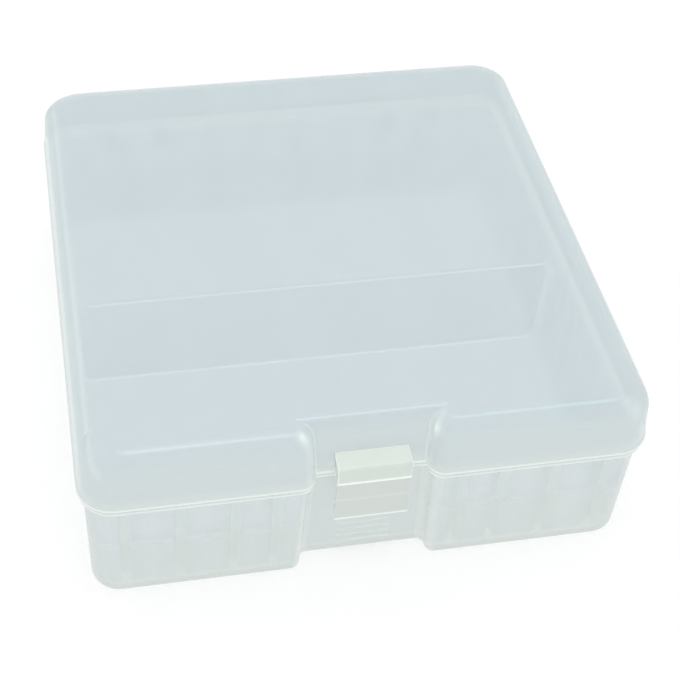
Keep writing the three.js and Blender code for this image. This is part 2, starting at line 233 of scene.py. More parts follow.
rim_plan = lid_plan(np.array([rim_height]), 0, 0)
print("lid at its rim, mm:", {name: round(float(size[0]), 2) for name, size in rim_plan.items()})

# %% [markdown]
# ## Rows round the outline
# At every height a row of points runs round the outline. All rows have the same columns, so that they join
# to a wall. A subdivided box would be quicker to make, but its points would lie anywhere; here the straights
# carry columns at chosen places, which lets a rib start exactly where it should.

# %% Rows and columns
corner_steps, bay_steps = 12, 10
support = 0.3  # mm from a rounding to the row or column that keeps the flat beside it flat
least_step = 0.02  # mm between columns that a short side pushes together
headings = np.array([(1, 0), (0, 1), (-1, 0), (0, -1), (1, 0), (0, 1), (1, 0), (0, -1)], float)

# the outline's roundings in their order, each followed by the straight with the same number
RIGHT_LOBE, FRONT_RIGHT, BACK_RIGHT, BACK_LEFT, FRONT_LEFT, LEFT_LOBE = range(6)
NOOKS = (6, 7)  # the two concave roundings of the bay
FRONT, RIGHT, BACK, LEFT, BAY_SIDES, BAY_FACE = (0, 4), 1, 2, 3, (5, 7), 6  # the straights


def arc_steps(corner):
    """Steps round a rounding; the four corners of the case are larger and get more."""
    return corner_steps if FRONT_RIGHT <= corner <= FRONT_LEFT else bay_steps


def outline_rows(plan, columns):
    """Points (rows, columns, 2) round the outline and its outward normals (columns, 2).

    A rounding with radius r about the centre c has the points c + r * (into * sin(a) - out * cos(a)),
    where into and out are the directions of the outline before and after the corner."""
    x, y, b, f = plan["width"], plan["depth"], plan["bay_width"], plan["bay_face"]
    fit = np.minimum(1, (y - f) * bay_round_share / (plan["lobe"] + plan["nook"]))
    lobe, nook, corner = plan["lobe"] * fit, plan["nook"] * fit, plan["corner"]
    corner_list = [
        (b, -y, lobe), (x, -y, corner), (x, y, corner), (-x, y, corner),
        (-x, -y, corner), (-b, -y, lobe), (-b, -f, nook), (b, -f, nook),
    ]
    places = [np.stack((px, py), -1) for px, py, _ in corner_list]
    points, normals = [], []
    for i, (_, _, radius) in enumerate(corner_list):
        into, out = headings[i - 1], headings[i]
        angle = np.linspace(0, math.pi / 2, arc_steps(i) + 1)[:, None]
        spoke = into * np.sin(angle) - out * np.cos(angle)
        centre = places[i] - radius[:, None] * into + radius[:, None] * out
        points.append(centre[:, None] + radius[:, None, None] * spoke)
        normals.append(-spoke if i in NOOKS else spoke)
        # the straight from this corner to the next
        following = (i + 1) % len(corner_list)
        start = places[i] + radius[:, None] * out
        end = places[following] - corner_list[following][2][:, None] * out
        length = ((end - start) @ out)[:, None]
        near = np.minimum(support, length / 5)
        spread = least_step * np.arange(len(columns[i]))
        along = np.asarray(columns[i], float)[None, :] - (start @ np.abs(out))[:, None]
        along = np.clip(along * out.sum(), 2 * near + spread, length - 2 * near - spread[::-1])
        along = np.concatenate((near, along, length - near), axis=1)
        points.append(start[:, None] + along[..., None] * out)
        normals.append(np.tile((out[1], -out[0]), (along.shape[1], 1)))
    return np.concatenate(points, axis=1), np.concatenate(normals)


def column_kinds(columns):
    """For each column the numbers of its straight and its rounding, -1 where it isn't on one, and the share
    round the rounding."""
    stretch, corner, share = [], [], []
    for i in range(len(headings)):
        arc, flat = arc_steps(i) + 1, len(columns[i]) + 2
        stretch += [-1] * arc + [i] * flat
        corner += [i] * arc + [-1] * flat
        share += list(np.linspace(0, 1, arc)) + [0] * flat
    return np.array(stretch), np.array(corner), np.array(share)


def with_height(outline, z):
    """Points (rows, columns, 3): x and y of the outline, and the height of its row."""
    return np.concatenate((outline, np.broadcast_to(z[:, None, None], (*outline.shape[:2], 1))), axis=-1)


print("roundings:", len(headings), "steps on each:", [arc_steps(i) for i in range(len(headings))])

# %% [markdown]
# ## Meshes from grids
# Every moulded shell is a grid of rows and columns that closes on itself, with one flat face at each end.
# Modelling tools could cut one from a block, but a grid puts every point where the light lines need it.
# Values ride on the points, each from 0 to 1: `glow`, a painted highlight on light lines, thick edges and
# lit faces; `cool`, a painted bluish highlight line, which also tints the upper ribs; `depth`, where a rib
# makes the wall thicker and so milkier, and on the lid's walls also a painted warm light; and `lit`, a
# painted glow, an edge behind the lid with a little light of its own. `faint` makes a piece clearer, and
# below 0 more solid.

# %% Grid pieces
point_values = ("glow", "cool", "depth", "faint", "lit")
plastics = {}  # filled in when the materials are made


def smoothstep(t):
    """3 t^2 - 2 t^3, with t held from 0 to 1."""
    t = np.clip(t, 0, 1)
    return t * t * (3 - 2 * t)


def grid_piece(
    name, points, body, glow=0.0, cool=0.0, depth=0.0, faint=0.0, lit=0.0, finish="tray_plastic",
    caps=True, ring=False,
):
    """A mesh over points (rows, columns, 3) in mm. Columns close on themselves, and rows too in a ring."""
    rows, columns = points.shape[:2]
    index = np.arange(rows * columns).reshape(rows, columns)
    if ring:
        index = np.vstack((index, index[:1]))
    low, high = index[:-1], index[1:]
    faces = np.stack((low, np.roll(low, -1, 1), np.roll(high, -1, 1), high), -1).reshape(-1, 4).tolist()
    if caps:
        faces += [index[0, ::-1].tolist(), index[-1].tolist()]
    mesh = bpy.data.meshes.new(name)
    mesh.from_pydata((points.reshape(-1, 3) * mm).tolist(), [], faces)
    mesh.shade_smooth()
    for key, value in zip(point_values, (glow, cool, depth, faint, lit)):
        values = np.broadcast_to(np.asarray(value, np.float32), (rows, columns)).ravel()
        mesh.attributes.new(key, "FLOAT", "POINT").data.foreach_set("value", np.ascontiguousarray(values))
    mesh.materials.append(plastics[finish])
    piece = bpy.data.objects.new(name, mesh)
    scene.collection.objects.link(piece)
    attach(piece, body)
    return piece


print("values on the points:", point_values)

# %% [markdown]
# ## Profiles with round corners
# Moulded plastic has no sharp edge. A bevel modifier could round one, but its points would come without the
# values above, so the corners of each profile are rounded by formula before it becomes a mesh. A spare
# point beside every rounding keeps the flat face next to it flat in smooth shading.

# %% Round profiles
def rounded(corners, radii, steps=5, spare=0.2):
    """A closed outline (points, 2) through corners, each rounded, with a spare point beside every rounding.

    A corner that turns by phi takes a length of r * tan(phi / 2) off both of its sides."""
    corner = np.asarray(corners, float)
    radius = np.broadcast_to(np.asarray(radii, float), len(corner))[:, None]
    into = corner - np.roll(corner, 1, 0)
    into /= np.linalg.norm(into, axis=1, keepdims=True)
    out = np.roll(into, -1, 0)
    cross = into[:, :1] * out[:, 1:] - into[:, 1:] * out[:, :1]
    turn = np.arctan2(cross, (into * out).sum(1, keepdims=True))
    side = np.stack((-into[:, 1], into[:, 0]), -1) * np.sign(turn)
    start = corner - into * radius * np.tan(np.abs(turn) / 2)
    centre = start + side * radius
    angle = np.abs(turn) * np.linspace(0, 1, steps + 1)
    arc = centre[:, None] + radius[..., None] * (
        into[:, None] * np.sin(angle)[..., None] - side[:, None] * np.cos(angle)[..., None]
    )
    leaving, arriving = arc[:, -1], np.roll(arc[:, 0], -1, 0)
    length = np.linalg.norm(arriving - leaving, axis=1, keepdims=True)
    share = np.minimum(spare / np.maximum(length, spare / 100), 0.3)
    step = (arriving - leaving) * share
    return np.concatenate((arc, (leaving + step)[:, None], (arriving - step)[:, None]), axis=1).reshape(-1, 2)


def filled(outline, step=0.4):
    """The same closed outline with points added, so that none lie further apart than the step in mm."""
    following = np.roll(outline, -1, 0)
    length = np.linalg.norm(following - outline, axis=1)
    counts = np.maximum(np.ceil(length / step), 1).astype(int)
    share = np.concatenate([np.arange(count) / count for count in counts])[:, None]
    return np.repeat(outline, counts, 0) * (1 - share) + np.repeat(following, counts, 0) * share


def outline_normals(outline):
    """Unit normals to the right of a closed outline, from the points before and after each point."""
    along = np.roll(outline, -1, 0) - np.roll(outline, 1, 0)
    normal = np.stack((along[:, 1], -along[:, 0]), -1)
    return normal / np.maximum(np.linalg.norm(normal, axis=1, keepdims=True), 1e-9)


sample = rounded([(0, 0), (4, 0), (4, 4), (0, 4)], 1)
print("points round a square:", len(sample), "and filled:", len(filled(sample)))

# %% [markdown]
# ## Bars
# The latch block, the flap, the catch, the grip ribs and the hinge eyes each keep one profile along the
# width of the case. Such a bar could be extruded and bevelled. Here its outline is drawn in a little at both
# ends, which gives the round edges that catch the light, and one value for each point stays possible.

# %% Bars
bar_steps = 4  # rows over the round edge at each end of a bar


def bar_points(outline, start, end, edge, tuck=support):
    """Points (rows, columns, 3) of an outline in (y, z) carried along x, with round edges at both ends.

    At the angle a of an end's rounding the outline is drawn in by edge * (1 - cos(a))."""
    angle = np.linspace(math.pi / 2, 0, bar_steps + 1)
    drawn_in = edge * (1 - np.cos(angle))
    x = start + edge * (1 - np.sin(angle))
    middle = [start + edge + support, end - edge - support]
    x = np.concatenate((x[:1], x, middle, (start + end - x)[::-1], [end]))
    inner = edge + tuck
    drawn_in = np.concatenate(([inner], drawn_in, [0, 0], drawn_in[::-1], [inner]))
    flat = outline[None] - outline_normals(outline)[None] * drawn_in[:, None, None]
    return np.concatenate((np.broadcast_to(x[:, None, None], (*flat.shape[:2], 1)), flat), axis=-1)


def bar_piece(name, outline, start, end, edge, body, glow=0.0, end_share=0.5, tuck=support, **more):
    """A bar along x. glow is one value, or one for each point of the outline; the ends' edges glow too."""
    points = bar_points(outline, start, end, edge, tuck=tuck)
    on_edge = np.zeros(len(points))
    on_edge[1:bar_steps + 1] = on_edge[-bar_steps - 1:-1] = end_share
    values = np.maximum(np.broadcast_to(glow, len(outline))[None], on_edge[:, None])
    return grid_piece(name, points, body, glow=values, **more)


print("rows of a bar:", len(bar_points(sample, 0, 8, 1)))

# %% [markdown]
# ## Frosted plastic
# The plastic is milky: it spreads light, so that nothing behind it is sharp except what touches it.
# A true volume would show that, but it renders slowly and with noise. Here each surface lets a share of the
# view through, and much more of the light, so that the inside is nearly as bright as the outside.
# Thick edges and light lines get painted highlights that make them whiter, and ribs behind a wall look darker
# and greener.

# %% Colours and node groups
def srgb(red, green, blue):
    """Linear colour from 8-bit values: ((c / 255 + 0.055) / 1.055) ^ 2.4."""
    c = (np.array((red, green, blue)) / 255 + 0.055) / 1.055
    return (*(c**2.4), 1)


def new_group(name, inputs, outputs):
    """An empty shader node group with the named sockets."""
    group = bpy.data.node_groups.new(name, "ShaderNodeTree")
    for way, sockets in (("INPUT", inputs), ("OUTPUT", outputs)):
        for socket, kind in sockets.items():
            group.interface.new_socket(socket, in_out=way, socket_type="NodeSocket" + kind)
    return group, group.nodes.new("NodeGroupInput"), group.nodes.new("NodeGroupOutput")


print("mid grey in linear light:", round(float(srgb(128, 128, 128)[0]), 3))

# %% [markdown]
# ## The milky look
# All four plastics are milky in the same way, so the look is one node group with named inputs. Melt that
# flows into a mould leaves soft clouds and long flow lines, and a satin mould leaves a fine grain. They
# could be painted as images, but noise has no seams and needs no picture.

# %% Clouds, flow lines and grain
cloud_scale, cloud_amount, cloud_detail = 22, 0.06, 3  # soft clouds in the milkiness, per metre
flow_scale, flow_amount, flow_detail, flow_bend = 9, 0.06, 2, 6  # long flow lines from moulding
grain_scale, grain_height, grain_detail, grain_strength = 1400, 0.00001, 2, 0.5  # satin skin

group, given, made = new_group(
    "milky_plastic",
    {"Body": "Color", "Thick": "Color", "Edge": "Color", "Cool": "Color", "Clear": "Float"},
    {
        "Color": "Color", "Roughness": "Float", "Cover": "Float", "Shade": "Float", "Lit": "Color",
        "Normal": "Vector",
    },
)
nodes, links = group.nodes, group.links
where = nodes.new("ShaderNodeTexCoord")
clouds = nodes.new("ShaderNodeTexNoise")
clouds.inputs["Scale"].default_value = cloud_scale
clouds.inputs["Detail"].default_value = cloud_detail
links.new(where.outputs["Object"], clouds.inputs["Vector"])
flow = nodes.new("ShaderNodeTexWave")
flow.inputs["Scale"].default_value = flow_scale
flow.inputs["Distortion"].default_value = flow_bend
flow.inputs["Detail"].default_value = flow_detail
links.new(where.outputs["Object"], flow.inputs["Vector"])
grain = nodes.new("ShaderNodeTexNoise")
grain.inputs["Scale"].default_value = grain_scale
grain.inputs["Detail"].default_value = grain_detail
links.new(where.outputs["Object"], grain.inputs["Vector"])
print("sockets of the milky look:", [item.name for item in group.interface.items_tree])

# %% [markdown]
# ## Colour and cover
# The values on the points choose between the group's colours, and they add to `Cover`, the share of the
# view that one surface holds back. `Shade` is the same for light, and a faint piece holds back less of
# both. Each sum could be typed into a node by hand; small helpers keep the wiring readable.

# %% Colour and cover
rough_least, rough_grain = 0.2, 0.1  # roughness, and what the grain adds to it
light_cover = 0.06  # share of the light that one surface holds back
# what each of these adds to the share of the view that one surface holds back
cover_uneven, cover_depth, cover_glow, cover_cool = 0.5, 0.35, 0.4, 0.3


def math_node(kind, first, second):
    """A math node of the group; each input is a socket or a number."""
    node = nodes.new("ShaderNodeMath")
    node.operation = kind
    for socket, value in zip(node.inputs, (first, second)):
        if isinstance(value, bpy.types.NodeSocket):
            links.new(value, socket)
        else:
            socket.default_value = value
    return node.outputs[0]


def attribute_node(name):
    """Reads one of the values on the points."""
    node = nodes.new("ShaderNodeAttribute")
    node.attribute_name = name
    return node.outputs["Fac"]


def colour_mix(factor, first, second):
    """first * (1 - factor) + second * factor, for colours; inputs 6 and 7 of the node are its colours."""
    node = nodes.new("ShaderNodeMix")
    node.data_type = "RGBA"
    for socket, value in zip((node.inputs[0], node.inputs[6], node.inputs[7]), (factor, first, second)):
        if isinstance(value, bpy.types.NodeSocket):
            links.new(value, socket)
        else:
            socket.default_value = value
    return node.outputs[2]


cloud_part = math_node("MULTIPLY", math_node("SUBTRACT", clouds.outputs["Fac"], 0.5), cloud_amount)
flow_part = math_node("MULTIPLY", math_node("SUBTRACT", flow.outputs["Fac"], 0.5), flow_amount)
uneven = math_node("ADD", cloud_part, flow_part)
thickness = math_node("ADD", attribute_node("depth"), uneven)
thickness.node.use_clamp = True
body_colour = colour_mix(thickness, given.outputs["Body"], given.outputs["Thick"])
# The glow value mixes in the Edge colour, a painted highlight, and the cool value a painted bluish highlight,
# which also tints the upper ribs.
painted_highlight_colour = colour_mix(attribute_node("glow"), body_colour, given.outputs["Edge"])
links.new(colour_mix(attribute_node("cool"), painted_highlight_colour, given.outputs["Cool"]), made.inputs["Color"])
roughness = math_node("ADD", math_node("MULTIPLY", grain.outputs["Fac"], rough_grain), rough_least)
links.new(roughness, made.inputs["Roughness"])
cover = math_node("SUBTRACT", 1, given.outputs["Clear"])
cover = math_node("ADD", cover, math_node("MULTIPLY", uneven, cover_uneven))
cover = math_node("ADD", cover, math_node("MULTIPLY", attribute_node("depth"), cover_depth))
not_faint = math_node("SUBTRACT", 1, attribute_node("faint"))
links.new(math_node("MULTIPLY", not_faint, light_cover), made.inputs["Shade"])
cover = math_node("MULTIPLY", cover, not_faint)
cover = math_node("ADD", cover, math_node("MULTIPLY", attribute_node("glow"), cover_glow))
cover = math_node("ADD", cover, math_node("MULTIPLY", attribute_node("cool"), cover_cool))
cover.node.use_clamp = True
links.new(cover, made.inputs["Cover"])
# The lit value feeds a painted glow: an edge behind the lid shines a little by itself.
links.new(colour_mix(attribute_node("lit"), (0, 0, 0, 1), given.outputs["Edge"]), made.inputs["Lit"])
bump = nodes.new("ShaderNodeBump")
bump.inputs["Distance"].default_value = grain_height
bump.inputs["Strength"].default_value = grain_strength
links.new(grain.outputs["Fac"], bump.inputs["Height"])
links.new(bump.outputs["Normal"], made.inputs["Normal"])
print("nodes in the milky look:", len(nodes))

# %% [markdown]
# ## The four plastics
# The lid is a little bluer than the tray, and the thick latch is creamier. One material with an attribute
# for the colour would do, but four named ones can be changed one by one. The group gives colours and masks,
# and the Principled shader in each material turns them into plastic. Light passes a milky wall far better
# than a sharp view does, so shadow and diffuse rays get `Shade` for Alpha, and all others get `Cover`.

# %% Plastics of the case
# edge_light is the strength of the painted glow, fed to the shader's emission.
edge_light = 1.0  # light that a fully lit edge adds
shine = 0.3  # below 0.5, because a satin mould leaves a dull skin
refraction = 1.49  # of polypropylene


def plastic(name, body, thick, edge, cool, clear):
    """A milky plastic. clear is the share of the view that one surface lets through."""
    material = bpy.data.materials.new(name)
    material.use_nodes = True
    tree = material.node_tree
    shader = tree.nodes["Principled BSDF"]
    milky = tree.nodes.new("ShaderNodeGroup")
    milky.node_tree = group
    for socket, value in (("Body", body), ("Thick", thick), ("Edge", edge), ("Cool", cool), ("Clear", clear)):
        milky.inputs[socket].default_value = value
    tree.links.new(milky.outputs["Color"], shader.inputs["Base Color"])
    tree.links.new(milky.outputs["Roughness"], shader.inputs["Roughness"])
    tree.links.new(milky.outputs["Normal"], shader.inputs["Normal"])
    # The emission is a painted glow on the edges that carry lit.
    tree.links.new(milky.outputs["Lit"], shader.inputs["Emission Color"])
    shader.inputs["Emission Strength"].default_value = edge_light
    path = tree.nodes.new("ShaderNodeLightPath")
    soft_ray = tree.nodes.new("ShaderNodeMath")
    soft_ray.operation = "MAXIMUM"
    tree.links.new(path.outputs["Is Shadow Ray"], soft_ray.inputs[0])
    tree.links.new(path.outputs["Is Diffuse Ray"], soft_ray.inputs[1])
    passing = tree.nodes.new("ShaderNodeMix")
    tree.links.new(soft_ray.outputs[0], passing.inputs["Factor"])
    tree.links.new(milky.outputs["Cover"], passing.inputs["A"])
    tree.links.new(milky.outputs["Shade"], passing.inputs["B"])
    tree.links.new(passing.outputs["Result"], shader.inputs["Alpha"])
    shader.inputs["IOR"].default_value = refraction
    shader.inputs["Specular IOR Level"].default_value = shine
    plastics[name] = material


# line_blue colours the painted bluish highlights and tints the upper ribs; each finish's edge colour is that
# of its painted highlights and glow, and the lid's thick colour also gives the painted warm light on its
# walls.
line_blue = srgb(216, 236, 239)
finishes = {
    # name: (body, thick, edge, clear), with colours in 8 bits
    "lid_plastic": ((202, 215, 219), (211, 219, 218), (240, 252, 246), 0.42),
    "tray_plastic": ((213, 222, 223), (209, 218, 213), (246, 249, 240), 0.4),
    "latch_plastic": ((216, 225, 217), (207, 213, 209), (246, 254, 247), 0.5),
    "pin_plastic": ((214, 222, 221), (208, 217, 213), (236, 242, 238), 0.5),
}
for finish_name, (body, thick, edge, clear) in finishes.items():
    plastic(finish_name, srgb(*body), srgb(*thick), srgb(*edge), line_blue, clear)
print("plastics:", sorted(plastics))

# %% [markdown]
# ## Lid
# On the real case the lid is one deep moulding with a hollow inside. Its section runs from the inner roof
# down the inner wall, round the rim with its bead, and up the outside over the large roof rounding.
# A Solidify modifier could give the wall its thickness, but not the rim its bead. So the whole section is
# carried round the outline, and the flat roof closes each end.

# %% Lid section
fillet_steps, small_steps, wall_rows = 36, 12, 6
rim_round, rim_steps = 0.3, 4
bead_round, section_end = 0.15, 0.01  # radii on the bead, and at the ends of the rim's section
section_high = rim_height + 4  # where the rim's section ends
above_bead = 1.2  # mm from the bead to the first row of the wall
# columns on a side and on each half of the front, and how far they reach
side_count, front_count = 17, 9
side_reach, front_start, bay_reach = 74, 24, 14


def roof_heights(top, radius):
    """Heights of the rows up a rounding that ends at top, with finer rows for the bay's small rounding."""
    large = top - radius * (1 - np.sin(np.linspace(0, math.pi / 2, fillet_steps + 1)))
    small = top - bay_roof_radius * (1 - np.sin(np.linspace(0, math.pi / 2, small_steps + 1)))
    heights = np.unique(np.round(np.concatenate((large, small)), 4))
    return np.concatenate((heights[:1] - support, heights))


front_places = np.linspace(front_start, side_reach, front_count)
side_places = np.linspace(-side_reach, side_reach, side_count)
lid_columns = [
    front_places, side_places, side_places[::-1], side_places[::-1], -front_places[::-1],
    [], np.linspace(-bay_reach, bay_reach, front_count), [],
]

outer_z = roof_heights(case_height, lid_roof_radius - bead_proud)
inner_z = roof_heights(case_height - lid_roof, lid_roof_radius - lid_wall - bead_proud)
wall_z = np.linspace(rim_height + bead_height + above_bead, outer_z[0] - support, wall_rows)

# the rim's section as (inset, height), from the inner wall to the top of the bead
rim_section = rounded(
    [
        (lid_wall, section_high), (lid_wall, rim_height), (0, rim_height),
        (0, rim_height + bead_height), (bead_proud, rim_height + bead_height + bead_proud),
        (bead_proud, section_high),
    ],
    [section_end, rim_round, rim_round, bead_round, bead_round, section_end],
    steps=rim_steps,
)
per_corner = rim_steps + 3  # points of one rounding with its two spare points
rim_section = rim_section[per_corner:-per_corner - 1]  # the first and the last corner only set directions
print("rows up the rounding:", len(outer_z), "inside:", len(inner_z), "in the rim:", len(rim_section))

# %% [markdown]
# ## Rows of the lid
# The rows follow the section from the middle of the inner roof to the middle of the outer one. Each row has
# its height, its inset from the outline and the thickness of roof that is taken off above it. A sweep along
# a path knows no draft and no bay, so the rows are listed and the outline is worked out for each.

# %% Lid shell
inner_rows = inner_z[::-1]
inner_wall_z = [rim_height + 6, rim_height + 2]
inner_wall_inset = [lid_wall + 0.1, lid_wall]
lid_z = np.concatenate((
    inner_rows[:1], inner_rows, inner_wall_z, rim_section[:, 1], wall_z, outer_z, outer_z[-1:],
))
n_inner, n_rim = len(inner_rows) + 1, len(rim_section)
first_outside = n_inner + len(inner_wall_z)
n_outer = len(wall_z) + len(outer_z) + 1
inset = np.concatenate((
    np.full(n_inner, lid_wall + bead_proud), inner_wall_inset, rim_section[:, 0],
    np.full(n_outer, bead_proud),
))
roof = np.concatenate((np.full(first_outside, lid_roof), np.zeros(n_rim + n_outer)))
drawn_in = np.zeros(len(lid_z))
drawn_in[[0, -1]] = support * 2
lid_outline, _ = outline_rows(lid_plan(lid_z, inset, roof, drawn_in), lid_columns)
lid_points = with_height(lid_outline, lid_z)
print("lid:", lid_points.shape, "box, mm:", lid_points.min((0, 1)).round(2), lid_points.max((0, 1)).round(2))

# %% [markdown]
# ## Light lines on the lid
# A lamp draws a light line where a rounding leans towards it. On the real case these lines lie on the roof
# rounding, on the two lobes beside the latch and on the front corners. Reflections could draw them, but on
# a satin skin they spread too far to be seen. So they are laid on the points as values, each a bell curve
# over the lean of the surface, the height, or the share of the way round a corner.

# %% Lean of the roof rounding
stretch, corner_number, corner_share = column_kinds(lid_columns)
row_z = lid_z[:, None]
fade_lean, fade_range = 18, 20  # the flat roof has no lines: they fade in over 20 degrees from this lean


def line_glow(value, middle, width):
    """exp(-((value - middle) / width)^2)"""
    return np.exp(-(((value - middle) / width) ** 2))


def lean(z, radius):
    """Angle in degrees between the roof rounding's outward normal and straight up, at a height."""
    return np.degrees(np.arccos(np.clip(1 - (case_height - z) / radius, 0, 1)))


roof_lean = lean(row_z, lid_roof_radius - bead_proud)
small_lean = lean(row_z, bay_roof_radius)
off_roof = smoothstep((roof_lean - fade_lean) / fade_range)
print("rows at the height of the roof rounding:", int(((roof_lean > 0) & (roof_lean < 90)).sum()))

# %% [markdown]
# ## Lines along the straights
# In the photo a bluish line runs along the front edge of the roof and a short one over the bay. The sides
# and the back have a softer one, which grows towards the front on the left side. A line could be a thin
# curve laid on the roof, but a value fades out on both sides as a reflection does.

# %% Lines along the straights
front_glow, front_lean, front_spread = 0.65, 28, 4  # level, lean and half width in degrees
side_glow, side_lean, side_spread = 0.03, 38, 8
left_back_glow, left_more_glow, left_spread = 0.1, 0.2, 7
left_start, left_run = 60, 150  # mm along y in which the left line grows
bay_glow, bay_lean, bay_spread = 0.7, 35, 20
# shares of a front corner, counted towards the front, where it belongs to the front and where the line fades
belongs_share, fade_start_share, fade_share = 0.6, 0.7, 0.3

right_share = np.where(corner_number == FRONT_RIGHT, 1 - corner_share, 1)
to_straight = np.where(corner_number == FRONT_LEFT, corner_share, right_share)
front_corners = np.isin(corner_number, (FRONT_RIGHT, FRONT_LEFT))
front_part = np.isin(stretch, FRONT) | (front_corners & (to_straight > belongs_share))
front_line = front_glow * line_glow(roof_lean, front_lean, front_spread)
front_line = front_line * smoothstep((to_straight - fade_start_share) / fade_share)
side_line = side_glow * line_glow(roof_lean, side_lean, side_spread)
to_front = smoothstep((left_start - lid_outline[..., 1]) / left_run)
left_line = (left_back_glow + left_more_glow * to_front) * line_glow(roof_lean, side_lean, left_spread)
bay_line = bay_glow * line_glow(small_lean, bay_lean, bay_spread)

lid_glow = np.where(front_part | (stretch == BAY_FACE), 0, side_line)
lid_glow = np.where(stretch == LEFT, left_line, lid_glow)
lid_cool = np.where(front_part, front_line, 0) + np.where(stretch == BAY_FACE, bay_line, 0)
print("columns of the front:", int(front_part.sum()), "bluish line:", round(float(lid_cool.max()), 3))

# %% [markdown]
# ## Lines on the lobes and corners
# The lobes beside the latch and the front corners curve both ways, so a line there shrinks to a streak or a
# spot. A lamp small enough to draw it would also leave a spot on the roof, so each has its own place here.

# %% Lines on the lobes and corners
lobe_glow, spot_glow = 0.25, 0.6
lobe_spread_share, spot_spread = 0.2, 1.6  # half widths, as a share of the way round and in mm of height
left_lobe_share, right_lobe_share = 0.55, 0.15  # how far round from the bay the streak lies
left_spot_height, right_spot_height = 59.8, 57
lobe_end_share = 0.3  # half width in which the front line runs out on a lobe
# bay_side_glow is a painted highlight down the bay's sides.
bay_side_glow = 0.2

lobes = np.isin(corner_number, (RIGHT_LOBE, LEFT_LOBE))
on_left = corner_number == LEFT_LOBE
from_bay = np.where(on_left, 1 - corner_share, corner_share)
lobe_middle = np.where(on_left, left_lobe_share, right_lobe_share)
spot_height = np.where(on_left, left_spot_height, right_spot_height)
lobe_line = lobe_glow + spot_glow * line_glow(row_z, spot_height, spot_spread)
lobe_line = line_glow(from_bay, lobe_middle, lobe_spread_share) * lobe_line
lid_glow = np.where(lobes, lobe_line * off_roof, lid_glow)
lid_cool = np.where(lobes, front_line * line_glow(from_bay, 1, lobe_end_share), lid_cool)
bay_sides = np.isin(stretch, BAY_SIDES) | np.isin(corner_number, NOOKS)
lid_glow = np.where(bay_sides, bay_side_glow * off_roof, lid_glow)

# down the left front corner the streak moves round with the square root of its fall
streak_glow, streak_spread_share, streak_reach_share = 0.28, 0.12, 0.8
streak_top, streak_fall, streak_low, streak_fade = 60.4, 8.3, 53, 4  # mm
streak_place = streak_reach_share * np.sqrt(np.clip((streak_top - row_z) / streak_fall, 0, 1))
left_streak = streak_glow * line_glow(corner_share, streak_place, streak_spread_share)
left_streak = left_streak * smoothstep((row_z - streak_low) / streak_fade) * off_roof

# the right front corner has one soft spot
right_glow, right_middle_share, right_spread_share, right_height, right_spread = 0.35, 0.3, 0.15, 58, 2.5
right_spot = right_glow * line_glow(corner_share, right_middle_share, right_spread_share)
right_spot = right_spot * line_glow(row_z, right_height, right_spread) * off_roof
lid_glow = np.where(corner_number == FRONT_LEFT, np.maximum(lid_glow, left_streak), lid_glow)
lid_glow = np.where(corner_number == FRONT_RIGHT, np.maximum(lid_glow, right_spot), lid_glow)
print("columns on the lobes:", int(lobes.sum()), "brightest streak:", round(float(lid_glow.max()), 3))

# %% [markdown]
# ## Rim, inside and walls
# Light that enters the lid leaves it at the thick rim, so the lower edge is the lightest line of the case.
# It could shine by itself, as the edges behind the lid do later on, but nothing hides it, so a painted
# highlight colour is enough, and a fainter one lies on the inner walls below the roof. Down the walls the
# tone gets warmer, because the tray's collar and lip stand behind them; below the roof the walls also get a
# painted warm light.

# %% Lid with its light lines
rim_heights, rim_levels = (0, 0.45, 0.75, 1), (0.9, 0.8, 0.1, 0)  # mm above the rim, and the glow there
inside_glow, inside_from, inside_fade = 0.12, 58, 4
# The first of these tones is a painted warm light on the walls below the roof; the second comes from the
# collar and lip behind the lower wall.
painted_warm_light, high_from, high_run = 0.6, case_height - 1.5, 7
low_tone, low_from, low_run = 0.4, rim_height + 6, 5

outside = (np.arange(len(lid_z)) >= first_outside)[:, None]
inner_glow = inside_glow * smoothstep((inside_from - row_z) / inside_fade)
rim_glow = np.interp(row_z - rim_height, rim_heights, rim_levels)
lid_glow = np.maximum(np.where(outside, lid_glow, inner_glow), rim_glow)
lid_cool = lid_cool * outside
lid_glow[[0, -1]] = lid_cool[[0, -1]] = 0  # the flat roofs stay plain
wall_tone_and_warm_light = painted_warm_light * smoothstep((high_from - row_z) / high_run)
wall_tone_and_warm_light = wall_tone_and_warm_light + low_tone * smoothstep((low_from - row_z) / low_run)
lid_cover = grid_piece(
    "lid_cover", lid_points, "lid", glow=lid_glow, cool=lid_cool, depth=wall_tone_and_warm_light, finish="lid_plastic"
)
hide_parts("lid_shell")
print("lid_cover:", len(lid_cover.data.polygons), "faces")

# %% [markdown]
# ## Tray
# The tray's walls carry upright ribs inside, one for each cell of battery, and a level rib half way up.
# They could be boxes set on the wall, but a moulded rib grows out of the wall, so here the inner wall itself
# is drawn in at those columns and rows.

# %% Ribs of the tray
rib_width, rib_top = 3, rim_height - 3
row_rib_proud, rib_proud = 3.0, 0.8  # on the front and back walls; on the side walls and the level rib
belt_height, belt_thick = 22.3, 1.3
guide_width, guide_proud, guide_top = 1.6, 2.2, 37.8
divider_thick = 1.8
tray_corner_tight = 1.2  # makes room for the outermost rib
ramp = 0.4  # mm in which a rib rises from the wall
ramp_shares = np.linspace(-0.5, 0.5, 5)

front_ribs = np.array([27.8, 40, 56, 72])
back_ribs = np.array([-72, -56, -40, -24, -8, 8, 24, 40, 56, 72])
side_ribs = np.array([-75, -59, -43, -27, -11, 11, 27, 43, 59, 75])
guide_middle = divider_thick / 2 + piece_gap + guide_width / 2
guides = np.array([-guide_middle, guide_middle])


def edge_places(middles, width):
    """Columns at both edges of every rib, five across each ramp."""
    edges = np.concatenate((middles - width / 2, middles + width / 2))
    return (edges[:, None] + ramp * ramp_shares).ravel()


